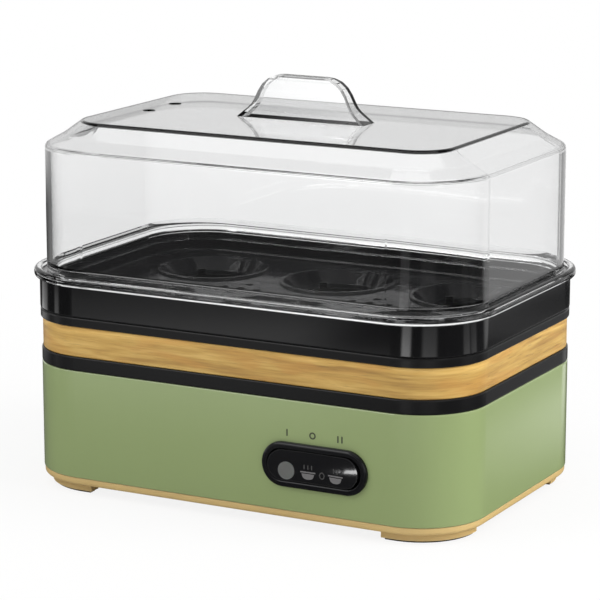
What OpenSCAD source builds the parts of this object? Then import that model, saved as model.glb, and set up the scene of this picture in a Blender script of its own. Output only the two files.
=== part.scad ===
// Six-egg electric steamer: a heated base, a lift-out egg tray and a clear lift-off lid.
// Origin at the middle of the footprint, feet on z = 0, front facing -Y.

/* [Body] */
// Width of the body, left to right
body_w = 180.2; // [174:0.1:200]
// Depth of the body, front to back
body_d = 119.4; // [116:0.1:135]
// Radius of the upright corners of the body
body_r = 25.25; // [22:0.25:30]
// Wall of the outer shell
shell_t = 2.4; // [2:0.1:3]
// Height of the outer shell
shell_h = 40.9; // [38:0.1:50]
// Height of the black ring under the wood band
trim_h = 5.3; // [4:0.1:8]
// Height of the wood band
band_h = 11.5; // [9:0.1:16]
// How far the wood band lies behind the face of the body
band_in = 0.5; // [0:0.1:0.8]
// Height of the collar that the tray stands on
collar_h = 3.5; // [3:0.1:5]
// How far the collar stands out from the body
collar_out = 0.3; // [0:0.1:1]
// Width of the flat ledge inside the collar
ledge_w = 4; // [3.6:0.1:5]
// Wall of the upper housing
housing_t = 2; // [1.6:0.1:2.6]

/* [Base] */
// Height of the feet
foot_h = 3.5; // [2.8:0.1:5]
// How far the feet lie in from the body
foot_in = 3.3; // [2.5:0.1:3.4]
// Width of a foot across its run
foot_w = 5; // [4:0.1:5.1]
// How far a foot runs along the front or back, from its corner
foot_run_x = 30; // [20:1:40]
// How far a foot runs along a side, from its corner
foot_run_y = 26; // [20:1:32]
// Thickness of a rubber pad
pad_t = 1.5; // [1:0.1:2]
// How far a rubber pad stands out of its foot
pad_out = 0.8; // [0.4:0.1:1]
// Height of the edge of the base plate
plate_h = 2.9; // [2.5:0.1:4]
// Thickness of the floor of the base plate
plate_t = 2.4; // [2:0.1:2.5]
// Height of the lip that stands inside the shell
lip_h = 5; // [3:0.1:8]

/* [Water pan] */
// Width of the pan between its walls
pan_w = 138; // [120:1:140]
// Depth of the pan between its walls, front to back
pan_d = 77; // [66:1:79]
// Corner radius of the pan
pan_r = 15; // [12:0.5:20]
// Depth of the pan below its rim
pan_deep = 10.6; // [8:0.1:12]
// Sheet thickness of the pan
pan_t = 0.8; // [0.6:0.1:1]
// Width of the rim of the pan
pan_rim = 5; // [4:0.1:6]
// Thickness of the silicone seal
seal_t = 0.8; // [0.5:0.1:1]
// Drop from the collar to the deck around the pan
deck_drop = 6.1; // [5.8:0.1:8]

/* [Heater] */
// Width of the heater plate
heater_w = 112; // [100:1:116]
// Depth of the heater plate
heater_d = 52; // [48:1:56]
// Thickness of the heater plate
heater_t = 3; // [2:0.1:4]
// Diameter of the tubular element
element_d = 6.4; // [5:0.1:7]
// Width of the loop of the element
element_w = 84; // [76:1:88]
// Depth of the loop of the element
element_loop_d = 36; // [34:1:40]
// Diameter of the thermostat
thermostat_d = 15; // [12:0.5:16]
// Diameter of the thermal fuse in its sleeve
fuse_d = 4.4; // [3:0.1:5]

/* [Tray] */
// Height of the skirt of the tray
skirt_h = 11.7; // [10:0.1:14]
// How far the skirt of the tray stands out from the body
skirt_out = 0.4; // [0:0.1:0.6]
// Wall of the tray
tray_t = 2.2; // [1.8:0.1:2.6]
// Height of the floor of the tray above its foot
floor_up = 3.4; // [3:0.1:4.5]
// Thickness of the floor of the tray
floor_t = 1.8; // [1.4:0.1:2.2]
// Distance between egg cups, left to right
pitch_x = 54.5; // [50:0.5:56]
// Distance between egg cups, front to back
pitch_y = 53.4; // [50:0.1:55]
// Radius of a cup at the floor
cup_r = 20.4; // [19:0.1:21.5]
// Radius of the hole in the bottom of a cup
cup_hole_r = 16.5; // [14:0.1:18]
// Depth of a cup below the floor
cup_deep = 6; // [4:0.1:6.4]
// Width of a steam notch in a cup
notch_w = 3.2; // [2:0.1:4]

/* [Lid] */
// Width of the lid over its walls
lid_w = 178.1; // [172:0.1:198]
// Depth of the lid over its walls
lid_d = 116.5; // [112:0.1:133]
// Radius of the upright corners of the lid
lid_r = 27.2; // [24:0.1:32]
// Wall of the lid
lid_t = 2; // [1.6:0.1:2.4]
// Height of the upright wall of the lid
lid_wall_h = 49.3; // [40:0.1:70]
// Rise of the shallow ledge above the wall
ledge_rise = 3.8; // [2:0.1:6]
// Run of the shallow ledge towards the middle
ledge_run = 7; // [5:0.1:9]
// Rise of the slope above the ledge
slope_rise = 5; // [3:0.1:7]
// Run of the slope towards the middle
slope_run = 6.9; // [4:0.1:7.5]
// Width over the flange of the lid
flange_w = 185.6; // [183:0.1:205]
// Depth over the flange of the lid
flange_d = 127.2; // [123:0.1:142]
// Corner radius of the flange
flange_r = 30.5; // [27:0.1:36]
// Height of the bead round the flange
flange_h = 3.6; // [3:0.1:5]
// Thickness of the flange inside its bead
flange_t = 2.2; // [1.8:0.1:2.6]
// Diameter of a steam vent
vent_d = 5; // [3:0.1:7]
// Distance of the vents from the middle of the lid
vent_x = 62.5; // [45:0.5:66]
// Distance between the vents
vent_pitch = 19; // [12:0.5:30]

/* [Handle] */
// Width of the handle where its flared foot begins
handle_w = 41.2; // [36:0.1:48]
// Width of the handle at its top, before rounding
handle_top_w = 30.6; // [28:0.1:36]
// Height of the handle
handle_h = 16.4; // [14:0.1:22]
// Height of the flared foot of the handle
handle_flare_h = 5; // [3:0.1:6]
// How far the foot of the handle flares out, left and right
handle_flare = 5.7; // [4:0.1:8]
// Thickness of the handle where its flared foot begins
handle_foot_t = 6.4; // [5.6:0.1:10]
// Thickness of the handle at its top
handle_top_t = 4.8; // [4.4:0.1:8]
// Radius of the top corners of the handle
handle_r = 11; // [6:0.1:12]
// Wall of the handle
handle_t = 1.3; // [1.2:0.1:1.6]

/* [Switch] */
// Distance of the switch from the middle of the front
switch_x = 35.6; // [28:0.1:38]
// Height of the middle of the switch above the foot of the shell
switch_up = 17.3; // [15:0.1:22]
// Length of the bezel
bezel_w = 42; // [38:0.1:46]
// Height of the bezel
bezel_h = 16.6; // [15:0.1:18]
// How far the bezel stands out from the shell
bezel_out = 1.6; // [1:0.1:2]
// Width of the frame of the bezel
bezel_rim = 2.4; // [2.2:0.1:3]
// Gap between the rocker and the ends of its frame
rocker_end_gap = 0.7; // [0.6:0.05:1]
// Gap between the rocker and the sides of its frame
rocker_side_gap = 0.25; // [0.2:0.05:0.4]
// Depth of the pivot of the rocker behind the shell
pivot_deep = 3.8; // [3.8:0.1:4.5]
// Diameter of the pivot pins of the rocker
pivot_d = 2; // [1.6:0.1:2.2]
// Radius of the hollow face of the rocker
rocker_face_r = 140; // [100:1:200]
// Diameter of the lamp lens
lens_d = 6.4; // [5:0.1:6.8]
// Distance of the lamp lens from the middle of the rocker
lens_x = 10.7; // [8:0.1:12]

/* [Cord gland] */
// Distance of the cord gland from the middle of the back
gland_x = 50; // [30:1:55]
// Height of the cord gland above the foot of the shell
gland_up = 13.5; // [13:0.1:20]
// Bore of the cord gland
gland_bore_d = 7; // [5:0.1:8]
// Length of the cord gland
gland_l = 12; // [9:0.1:16]

/* [Screws] */
// Shank diameter of the case screws
screw_d = 3; // [2.5:0.1:3.5]
// Head diameter of the case screws
screw_head_d = 6; // [5:0.1:6.4]
// Head height of the case screws
screw_head_h = 2.2; // [1.6:0.1:2.6]
// Length of the base screws under the head
base_screw_l = 16; // [12:0.5:20]
// Length of the short inner screws under the head
inner_screw_l = 9; // [7:0.5:11]
// Distance of the base screws in from the sides of the body
base_screw_in = 16; // [15.5:0.1:18]
// Distance of the housing screws from the middle, left and right
housing_screw_x = 48; // [44:0.5:54]

/* [Fits] */
// Gap between mouldings that are fixed together
fit = 0.2; // [0.1:0.05:0.3]
// Gap round pieces that lift off
lift_gap = 0.5; // [0.4:0.05:0.8]
// Radial gap of pins and screws in their holes
pin_gap = 0.05; // [0.03:0.01:0.1]

/* [Hidden] */
$fn = 96;

// Heights of the layers, from the table upwards
z_plate = foot_h;
z_floor = z_plate + plate_t;
z_shell = z_plate + plate_h;
z_trim = z_shell + shell_h;
z_band = z_trim + trim_h;
z_collar = z_band + band_h;
z_tray = z_collar + collar_h;
z_rim = z_tray + skirt_h;
z_shoulder = z_rim + lid_wall_h;
z_ledge = z_shoulder + ledge_rise;
z_panel = z_ledge + slope_rise;

// Offsets from the face of the body, outward positive
shell_inner = -shell_t;
lip_outer = shell_inner - fit;
lip_t = 1.6;
housing_outer = shell_inner - fit;
housing_inner = housing_outer - housing_t;
tongue_in = -shell_t / 2;
tongue_h = 1.5;
edge_r = 0.5;

// Deck, pan and heater
deck_t = 2;
z_deck = z_tray - deck_drop;
z_deck_under = z_deck - deck_t;
z_pan_rim = z_deck + seal_t;
z_pan_floor = z_pan_rim + pan_t - pan_deep;
z_heater = z_pan_floor - pan_t;
z_strap = z_heater - heater_t;
pan_gap = 1;
deck_strip = 12;
fuse_y = thermostat_d / 2 + 1.6 + fuse_d / 2;
z_fuse = z_strap - fuse_d / 2 - pin_gap;
fuse_l = 22;
fuse_lead_l = 5;
fuse_lead_d = 1.2;
clip_x = 7;
clip_w = 3;
clip_t = 0.7;
stat_flange_h = 3;
stat_h = 9;
stat_tab = [6, 0.8, 7];
stat_tab_y = 0.3 * thermostat_d;
z_stat_tab = z_strap - stat_h - stat_tab[2] + 1;
z_element = z_strap - element_d / 2 - pin_gap;
element_end_x = 9;
strap_t = 1.5;
strap_w = 9;
strap_x = (element_w - element_d) / 2 - 1.5 - strap_w / 2;
strap_l = element_loop_d - element_d - 7.6;
stud_d = 6;
stud_y = strap_l / 2 - 4.5;
stud_left = 0.4;
z_element_end = z_element - 16;
block_y = body_d / 2 - 34;
block_size = [24, 16, 11];
block_pitch = 6;
block_wire_z = 4;
block_hole_d = 3;
wire_d = 1.8;
wire_gap = 0.2;

// Screws, columns and bosses
boss_d = 8;
base_boss_d = 10;
base_x = body_w / 2 - base_screw_in;
base_y = body_d / 2 - base_screw_in;
z_seat = z_plate + 4.8;
z_column = z_shell + 5.6;
column_h = 20;
housing_y = body_d / 2 + housing_inner - boss_d / 2 + 0.6;
tab_t = 2.4;
tab_w = 12;
z_tab = z_trim - 3.3;
z_housing_foot = z_tab + 1;

// Tray, measured from its own outline
tray_w = body_w + 2 * skirt_out;
tray_d = body_d + 2 * skirt_out;
tray_r = body_r + skirt_out;
rib_t = 1.6;
locator_outer = -(ledge_w + skirt_out + lift_gap);
locator_h = deck_drop - lift_gap;
z_tray_floor = z_tray + floor_up;
z_tray_under = z_tray_floor - floor_t;
draft = 0.8;
cup_t = 1.7;
cup_lip = 0.8;
steam_d = 3.4;
steam_pitch = 7;

// Lid
locator_deep = 3;
bead_w = 2.8;
shoulder_r = 2.2;
ledge_r = 12;
panel_r = 1.6;
handle_side_flare = 1.4;
handle_side_r = 2.3;
handle_knee_r = 9;

// Switch, in its own frame: x along the front, y up, z out of the shell
switch_z = z_shell + switch_up;
snout_out = 1.5;
snout_l = 10;
rocker_w = bezel_w - 2 * bezel_rim - 2 * rocker_end_gap;
rocker_h = bezel_h - 2 * bezel_rim - 2 * rocker_side_gap;
rocker_back = 7;
rocker_mid = bezel_out - 0.4;
switch_body_l = 14;
switch_body_t = 1.2;
blade = [4.8, 0.8, 8];
blade_pitch = 10;
lens_drop = 1.9;
lens_l = 3;

// Gland
gland_z = z_shell + gland_up;
gland_flange = 2;
gland_neck_d = gland_bore_d + 4.6;
gland_flange_d = gland_bore_d + 8;

// ---- Shared forms ----

function unit(v) = v / norm(v);
function flat(p) = [p[0], p[1]];
function heading(v) = atan2(v[1], v[0]);

// The points that round corner b between a and c; b is [x, y] or [x, y, radius]
function corner(a, b, c) =
    let (r = len(b) > 2 ? b[2] : 0)
    r == 0 ? [flat(b)] :
    let (
        u = unit(flat(a) - flat(b)),
        v = unit(flat(c) - flat(b)),
        angle = acos(u * v),
        centre = flat(b) + unit(u + v) * r / sin(angle / 2),
        from = heading(flat(b) + u * r / tan(angle / 2) - centre),
        to = heading(flat(b) + v * r / tan(angle / 2) - centre),
        turn = (to - from + 540) % 360 - 180,
        steps = max(2, ceil(abs(turn) / 18))
    )
    [for (i = [0 : steps]) centre + r * [cos(from + turn * i / steps), sin(from + turn * i / steps)]];

// A closed outline with each corner rounded by its own radius
function rounded(points) =
    let (n = len(points))
    [for (i = [0 : n - 1]) each corner(points[(i + n - 1) % n], points[i], points[(i + 1) % n])];

function left_of(a, b) = let (d = unit(flat(b) - flat(a))) [-d[1], d[0]];

// An open path moved to its left by t, its corners mitred
function moved(path, t) =
    let (last = len(path) - 1)
    [for (i = [0 : last])
        let (
            before = left_of(path[max(i - 1, 0)], path[max(i, 1)]),
            after = left_of(path[min(i, last - 1)], path[min(i + 1, last)])
        )
        flat(path[i]) + t * (before + after) / (1 + before * after)];

function reversed(path) = [for (i = [len(path) - 1 : -1 : 0]) path[i]];
function mirrored(path) = [for (p = reversed(path)) [-p[0], for (i = [1 : len(p) - 1]) p[i]]];

// A rounded rectangle
module plan(w, d, r) {
    square([w - 2 * r, d], center = true);
    if (d > 2 * r)
        square([w, d - 2 * r], center = true);
    for (x = [-1, 1], y = [-1, 1])
        translate([x * (w / 2 - r), y * (d / 2 - r)])
            circle(r);
}

// A rounded plate from z upwards
module slab(w, d, r, z, h) {
    translate([0, 0, z])
        linear_extrude(h)
            plan(w, d, r);
}

// Sweeps a profile round a rounded rectangle: its x is out from the outline, its y is up
module around(w, d, r) {
    for (side = [0 : 3]) {
        out = side % 2 == 0 ? w : d;
        run = side % 2 == 0 ? d : w;
        rotate(90 * side) {
            translate([out / 2 - r, run / 2 - r, 0])
                rotate_extrude(angle = 90)
                    translate([r, 0])
                        children();
            if (run > 2 * r)
                translate([out / 2, run / 2 - r, 0])
                    rotate([90, 0, 0])
                        linear_extrude(run - 2 * r)
                            children();
        }
    }
}

module at_corners(x, y) {
    for (sx = [-1, 1], sy = [-1, 1])
        translate([sx * x, sy * y, 0])
            children();
}

module at_sides(x) {
    for (sx = [-1, 1])
        translate([sx * x, 0, 0])
            children();
}

module rod(d, z, h) {
    translate([0, 0, z])
        cylinder(d = d, h = h);
}

// A pan-head screw pointing up, the underside of its head at z
module screw(z, l) {
    difference() {
        union() {
            rod(screw_head_d, z - screw_head_h, screw_head_h);
            rod(screw_d, z, l);
        }
        for (a = [0, 90])
            rotate(a)
                translate([0, 0, z - screw_head_h])
                    cube([screw_head_d * 0.55, 0.8, 2], center = true);
    }
}

// Turns the switch's own frame into place on the front of the shell
module on_front() {
    translate([switch_x, -body_d / 2, switch_z])
        rotate([90, 0, 0])
            children();
}

// ---- Base ----

module foot_plan(inset) {
    intersection() {
        difference() {
            plan(body_w - 2 * (foot_in + inset), body_d - 2 * (foot_in + inset), body_r - foot_in - inset);
            plan(body_w - 2 * (foot_in + foot_w - inset), body_d - 2 * (foot_in + foot_w - inset),
                body_r - foot_in - foot_w + inset);
        }
        at_corners(body_w / 2, body_d / 2)
            plan(2 * (foot_run_x - inset), 2 * (foot_run_y - inset), 2);
    }
}

module feet() {
    color("burlywood")
        difference() {
            translate([0, 0, pad_out])
                linear_extrude(foot_h - pad_out)
                    foot_plan(0);
            linear_extrude(pad_t)
                foot_plan(1);
        }
}

module foot_pads() {
    color("dimgray")
        linear_extrude(pad_t)
            foot_plan(1 + pin_gap);
}

module base_plate() {
    lip_inner = lip_outer - lip_t;
    strip = 12;
    color("burlywood")
        difference() {
            union() {
                around(body_w, body_d, body_r)
                    polygon(rounded([
                        [-0.3, z_plate, 1.4],
                        [-0.3, z_shell, edge_r],
                        [lip_outer, z_shell],
                        [lip_outer, z_shell + lip_h, 0.4],
                        [lip_inner, z_shell + lip_h, 0.4],
                        [lip_inner, z_floor, 0.6],
                        [-strip, z_floor],
                        [-strip, z_plate]
                    ]));
                slab(body_w - 2 * strip + 2, body_d - 2 * strip + 2, body_r - strip + 1, z_plate, plate_t);
                at_corners(base_x, base_y)
                    rod(base_boss_d, z_plate, z_column - z_plate);
            }
            at_corners(base_x, base_y) {
                rod(screw_head_d + 0.8, z_plate - 1, z_seat - z_plate + 1);
                rod(screw_d + 0.6, z_seat - 1, z_column - z_seat + 2);
            }
        }
}

module base_screws() {
    color("silver")
        at_corners(base_x, base_y)
            screw(z_seat, base_screw_l);
}

// ---- Housing ----

module outer_shell() {
    from_corner = [body_r - base_screw_in, body_r - base_screw_in];
    web_t = 1.8;
    color("darkseagreen")
        difference() {
            union() {
                around(body_w, body_d, body_r)
                    polygon(rounded([
                        [0, z_shell, edge_r],
                        [0, z_trim, edge_r],
                        [tongue_in, z_trim],
                        [tongue_in, z_trim - tongue_h - 0.1],
                        [shell_inner, z_trim - tongue_h - 0.1],
                        [shell_inner, z_shell]
                    ]));
                at_corners(base_x, base_y)
                    rod(boss_d, z_column, column_h);
                // Webs tie each screw column to its corner of the shell
                for (sx = [-1, 1], sy = [-1, 1])
                    translate([sx * base_x, sy * base_y, z_column])
                        rotate(heading([sx * from_corner[0], sy * from_corner[1]]))
                            translate([0, -web_t / 2, 0])
                                cube([body_r - shell_t / 2 - norm(from_corner), web_t, column_h]);
                // Tabs that the upper housing is screwed down to
                for (sx = [-1, 1], sy = [-1, 1])
                    translate([sx * housing_screw_x, sy * (body_d / 2 - shell_t / 2), z_tab - tab_t])
                        mirror([0, sy > 0 ? 1 : 0, 0])
                            translate([-tab_w / 2, 0, 0])
                                cube([tab_w, body_d / 2 - shell_t / 2 - housing_y + tab_w / 2, tab_t]);
            }
            at_corners(base_x, base_y)
                rod(screw_d + 2 * pin_gap, z_column - 1, column_h - 1);
            at_corners(housing_screw_x, housing_y)
                rod(screw_d + 0.6, z_tab - tab_t - 1, tab_t + 2);
            on_front()
                translate([0, 0, -2 * shell_t])
                    linear_extrude(3 * shell_t)
                        plan(bezel_w - 2 * (snout_out - fit), bezel_h - 2 * (snout_out - fit),
                            bezel_h / 2 - snout_out + fit);
            translate([-gland_x, body_d / 2 - 2 * shell_t, gland_z])
                rotate([-90, 0, 0])
                    cylinder(d = gland_neck_d + 2 * fit, h = 3 * shell_t);
        }
}

module lower_trim_ring() {
    color([0.07, 0.07, 0.07])
        around(body_w, body_d, body_r)
            polygon(rounded([
                [0, z_trim, edge_r],
                [0, z_band, edge_r],
                [shell_inner, z_band],
                [shell_inner, z_trim - tongue_h],
                [tongue_in - 0.1, z_trim - tongue_h],
                [tongue_in - 0.1, z_trim]
            ]));
}

module wood_band() {
    color("peru")
        around(body_w, body_d, body_r)
            polygon(rounded([
                [-band_in, z_band, edge_r],
                [-band_in, z_collar, edge_r],
                [shell_inner, z_collar],
                [shell_inner, z_band]
            ]));
}

module upper_housing() {
    opening_w = pan_w + 2 * pan_gap;
    opening_d = pan_d + 2 * pan_gap;
    color([0.1, 0.1, 0.1])
        difference() {
            union() {
                around(body_w, body_d, body_r)
                    polygon(rounded([
                        [collar_out, z_collar, 0.3],
                        [collar_out, z_tray, 0.7],
                        [-ledge_w, z_tray, 0.4],
                        [-ledge_w, z_deck, 1],
                        [-deck_strip, z_deck],
                        [-deck_strip, z_deck_under],
                        [housing_inner, z_deck_under, 0.6],
                        [housing_inner, z_housing_foot],
                        [housing_outer, z_housing_foot],
                        [housing_outer, z_collar]
                    ]));
                slab(body_w - 2 * deck_strip + 2, body_d - 2 * deck_strip + 2, body_r - deck_strip + 1,
                    z_deck_under, deck_t);
                at_corners(housing_screw_x, housing_y)
                    rod(boss_d, z_tab, z_deck - z_tab - deck_t / 2);
            }
            slab(opening_w, opening_d, pan_r + pan_gap, z_deck_under - 1, deck_t + 2);
            at_corners(housing_screw_x, housing_y)
                rod(screw_d + 2 * pin_gap, z_tab - 1, inner_screw_l + 1);
        }
}

module housing_screws() {
    color("silver")
        at_corners(housing_screw_x, housing_y)
            screw(z_tab - tab_t, inner_screw_l);
}

module cord_gland() {
    flange_r = gland_flange_d / 2;
    neck_r = gland_neck_d / 2;
    color([0.12, 0.12, 0.12])
        translate([-gland_x, body_d / 2, gland_z])
            rotate([-90, 0, 0])
                rotate_extrude()
                    polygon([
                        [gland_bore_d / 2, gland_flange],
                        [flange_r - 0.8, gland_flange],
                        [flange_r, gland_flange - 0.8],
                        [flange_r, 0],
                        [neck_r, 0],
                        [neck_r, -shell_t],
                        [neck_r + 1, -shell_t],
                        [neck_r, -shell_t - 2.5],
                        [neck_r, gland_flange - gland_l],
                        [gland_bore_d / 2, gland_flange - gland_l]
                    ]);
}

// ---- Pan and heater ----

// A pressed pan with four studs welded under its floor for the heater
module water_pan() {
    strip = pan_r - 1;
    color("gainsboro")
        difference() {
            union() {
                around(pan_w, pan_d, pan_r)
                    polygon(rounded([
                        [pan_rim, z_pan_rim],
                        [pan_rim, z_pan_rim + pan_t],
                        [-pan_t, z_pan_rim + pan_t, 1.4],
                        [-pan_t, z_pan_floor, 3.2],
                        [-strip, z_pan_floor],
                        [-strip, z_heater],
                        [0, z_heater, 4],
                        [0, z_pan_rim, 0.6]
                    ]));
                slab(pan_w - 2 * strip + 2, pan_d - 2 * strip + 2, 2, z_heater, pan_t);
                at_corners(strap_x, stud_y)
                    rod(stud_d, z_strap, heater_t + pan_t / 2);
            }
            at_corners(strap_x, stud_y)
                rod(screw_d + 2 * pin_gap, z_strap - 1, heater_t + 1 - stud_left);
        }
}

module pan_seal() {
    color("lightgray")
        difference() {
            slab(pan_w + 2 * pan_rim - 0.8, pan_d + 2 * pan_rim - 0.8, pan_r + pan_rim - 0.4, z_deck, seal_t);
            slab(pan_w + 2 * pan_gap + 0.4, pan_d + 2 * pan_gap + 0.4, pan_r + pan_gap + 0.2, z_deck - 1,
                seal_t + 2);
        }
}

module heater_plate() {
    color("silver")
        difference() {
            slab(heater_w, heater_d, 12, z_strap, heater_t);
            at_corners(strap_x, stud_y)
                rod(stud_d + 2 * pin_gap, z_strap - 1, heater_t + 2);
        }
}

// A tubular loop, open at the back, with both ends turned down
module heating_element() {
    bend_r = 12;
    end_r = 5;
    end_x = element_end_x + end_r;
    y = element_loop_d / 2;
    color("gray")
        translate([0, 0, z_element]) {
            for (side = [-1, 1])
                mirror([side > 0 ? 1 : 0, 0, 0]) {
                    for (rear = [0, 1])
                        mirror([0, rear, 0])
                            translate([bend_r - element_w / 2, bend_r - y, 0])
                                rotate(180)
                                    rotate_extrude(angle = 90)
                                        translate([bend_r, 0])
                                            circle(d = element_d);
                    translate([-element_w / 2, y - bend_r, 0])
                        rotate([90, 0, 0])
                            cylinder(d = element_d, h = 2 * (y - bend_r));
                    translate([bend_r - element_w / 2, -y, 0])
                        rotate([0, 90, 0])
                            cylinder(d = element_d, h = element_w / 2 - bend_r);
                    translate([bend_r - element_w / 2, y, 0])
                        rotate([0, 90, 0])
                            cylinder(d = element_d, h = element_w / 2 - bend_r - end_x);
                    translate([-end_x, y, -end_r])
                        rotate([90, 0, 0])
                            rotate_extrude(angle = 90)
                                translate([end_r, 0])
                                    circle(d = element_d);
                    translate([-element_end_x, y, -end_r - 5])
                        cylinder(d = element_d, h = 5);
                    translate([-element_end_x, y, z_element_end - z_element])
                        cylinder(d = 2.4, h = 6);
                }
        }
}

// Flat straps inside the loop of the element, screwed to the studs of the pan
module heater_straps() {
    color("lightsteelblue")
        difference() {
            at_sides(strap_x)
                slab(strap_w, strap_l, 4, z_strap - strap_t, strap_t);
            at_corners(strap_x, stud_y)
                rod(screw_d + 0.4, z_strap - strap_t - 1, strap_t + 2);
        }
}

module strap_screws() {
    color("silver")
        at_corners(strap_x, stud_y)
            screw(z_strap - strap_t, strap_t + heater_t - 1.5 * stud_left);
}

module thermostat() {
    color("dimgray")
        difference() {
            union() {
                rod(thermostat_d + 2, z_strap - stat_flange_h, stat_flange_h);
                rod(thermostat_d, z_strap - stat_h, stat_h);
                for (sy = [0, 1])
                    mirror([0, sy, 0])
                        translate([-stat_tab[0] / 2, stat_tab_y, z_stat_tab])
                            cube(stat_tab);
            }
            rod(thermostat_d - 6, z_strap - stat_h - 1, 1.6);
        }
}

module fuse_at() {
    translate([0, -fuse_y, z_fuse])
        children();
}

module thermal_fuse() {
    color("white")
        fuse_at()
            rotate([0, 90, 0]) {
                cylinder(d = fuse_d, h = fuse_l, center = true);
                cylinder(d = fuse_lead_d, h = fuse_l + 2 * fuse_lead_l, center = true);
            }
}

// A spring strip over the fuse, its feet flat against the heater plate
module fuse_clip() {
    drop = fuse_d + pin_gap;
    color("lightsteelblue")
        for (sx = [-1, 1])
            translate([sx * clip_x, 0, 0])
                fuse_at()
                    rotate([90, 0, 90])
                        linear_extrude(clip_w, center = true)
                            difference() {
                                union() {
                                    circle(d = fuse_d + 2 * clip_t);
                                    translate([-fuse_d / 2 - clip_t, 0])
                                        square([fuse_d + 2 * clip_t, drop / 2]);
                                }
                                circle(d = fuse_d + 2 * pin_gap);
                                translate([-fuse_d / 2 - pin_gap, 0])
                                    square([fuse_d + 2 * pin_gap, fuse_d]);
                            }
}

module terminal_block() {
    color("ivory")
        translate([-gland_x, block_y, z_floor])
            difference() {
                translate([-block_size[0] / 2, -block_size[1] / 2, 0])
                    cube(block_size);
                for (i = [-1, 0, 1])
                    translate([i * block_pitch, 0, block_wire_z]) {
                        translate([0, 0, block_hole_d])
                            cylinder(d = 1.2 * block_hole_d, h = block_size[2]);
                        rotate([90, 0, 0])
                            cylinder(d = block_hole_d, h = block_size[1] + 2, center = true);
                    }
            }
}

// The way a path runs at point i, halfway between its two stretches there
function along_at(points, i) =
    let (
        last = len(points) - 1,
        before = points[max(i, 1)] - points[max(i, 1) - 1],
        after = points[min(i + 1, last)] - points[min(i + 1, last) - 1]
    )
    unit(unit(before) + unit(after));

// A direction square to the path at each point, carried along it without twist
function sides_along(points, i = 0, side = [0.3, 0.5, 0.8]) =
    let (
        along = along_at(points, i),
        square_side = unit(side - (side * along) * along)
    )
    concat([square_side], i < len(points) - 1 ? sides_along(points, i + 1, square_side) : []);

// A wire swept through its points as one eight-sided tube
module wire(points) {
    n = 8;
    last = len(points) - 1;
    sides = sides_along(points);
    rings = [for (i = [0 : last], a = [0 : 360 / n : 359])
        points[i] + wire_d / 2 * (cos(a) * sides[i] + sin(a) * cross(along_at(points, i), sides[i]))];
    polyhedron(rings, concat(
        [[for (k = [0 : n - 1]) k]],
        [for (i = [0 : last - 1], k = [0 : n - 1])
            [i * n + k, (i + 1) * n + k, (i + 1) * n + (k + 1) % n, i * n + (k + 1) % n]],
        [[for (k = [n - 1 : -1 : 0]) last * n + k]]
    ));
}

// Wires between the terminal block, the switch, the thermostat, the fuse and the element
module wiring() {
    block = [-gland_x, block_y - block_size[1] / 2 - wire_gap, z_floor + block_wire_z];
    blades = [switch_x, -body_d / 2 + snout_l + switch_body_l + blade[2] + wire_gap, switch_z];
    stat = [0, stat_tab_y + stat_tab[1] / 2, z_stat_tab - wire_gap];
    fuse = [fuse_l / 2 + fuse_lead_l + wire_gap, -fuse_y, z_fuse];
    ends = [element_end_x, element_loop_d / 2, z_element_end - wire_gap];
    color("firebrick") {
        wire([block - [block_pitch, 0, 0], block - [block_pitch, 6, 0], [-40, -20, 14],
            blades + [-blade_pitch, 8, 0], blades - [blade_pitch, 0, 0]]);
        wire([blades, blades + [0, 8, 0], [16, 6, 24], stat - [0, 0, 6], stat]);
        wire([[0, -stat[1], stat[2]], [0, -stat[1], stat[2] - 6], [-26, -fuse_y, stat[2]],
            [-fuse[0] - 5, -fuse_y, z_fuse], [-fuse[0], -fuse_y, z_fuse]]);
        wire([fuse, fuse + [6, 0, 0], [26, 8, 30], ends - [0, 0, 4], ends]);
        wire([block + [block_pitch, 0, 0], block + [block_pitch, -5, 0], [-24, 14, 20],
            [-ends[0], ends[1], ends[2] - 5], [-ends[0], ends[1], ends[2]]]);
    }
}

// ---- Switch ----

module switch_bezel() {
    wall = bezel_rim;
    color([0.05, 0.05, 0.05])
        on_front()
            difference() {
                around(bezel_w, bezel_h, bezel_h / 2)
                    polygon(rounded([
                        [0, 0],
                        [0, bezel_out, 1],
                        [-wall, bezel_out, 0.5],
                        [-wall, -snout_l],
                        [-snout_out, -snout_l],
                        [-snout_out, 0]
                    ]));
                translate([0, -bezel_h / 2, -pivot_deep])
                    rotate([-90, 0, 0])
                        cylinder(d = pivot_d + 2 * pin_gap, h = bezel_h);
            }
}

module switch_body() {
    w = bezel_w - 2 * snout_out;
    h = bezel_h - 2 * snout_out;
    color([0.15, 0.15, 0.15])
        on_front()
            translate([0, 0, -snout_l - switch_body_l])
                difference() {
                    linear_extrude(switch_body_l)
                        plan(w, h, h / 2 - 0.05);
                    translate([0, 0, switch_body_t])
                        linear_extrude(switch_body_l)
                            plan(w - 2 * switch_body_t, h - 2 * switch_body_t, h / 2 - switch_body_t - 0.05);
                }
}

module switch_terminals() {
    color("goldenrod")
        on_front()
            for (x = [-1, 0, 1])
                translate([x * blade_pitch, 0, -snout_l - switch_body_l - blade[2] / 2])
                    cube(blade, center = true);
}

module neon_lamp() {
    color("orange")
        on_front()
            translate([-lens_x, 0, -snout_l - switch_body_l + switch_body_t]) {
                cylinder(d = 4.4, h = 7);
                translate([0, 0, 7])
                    sphere(d = 4.4);
            }
}

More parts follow.
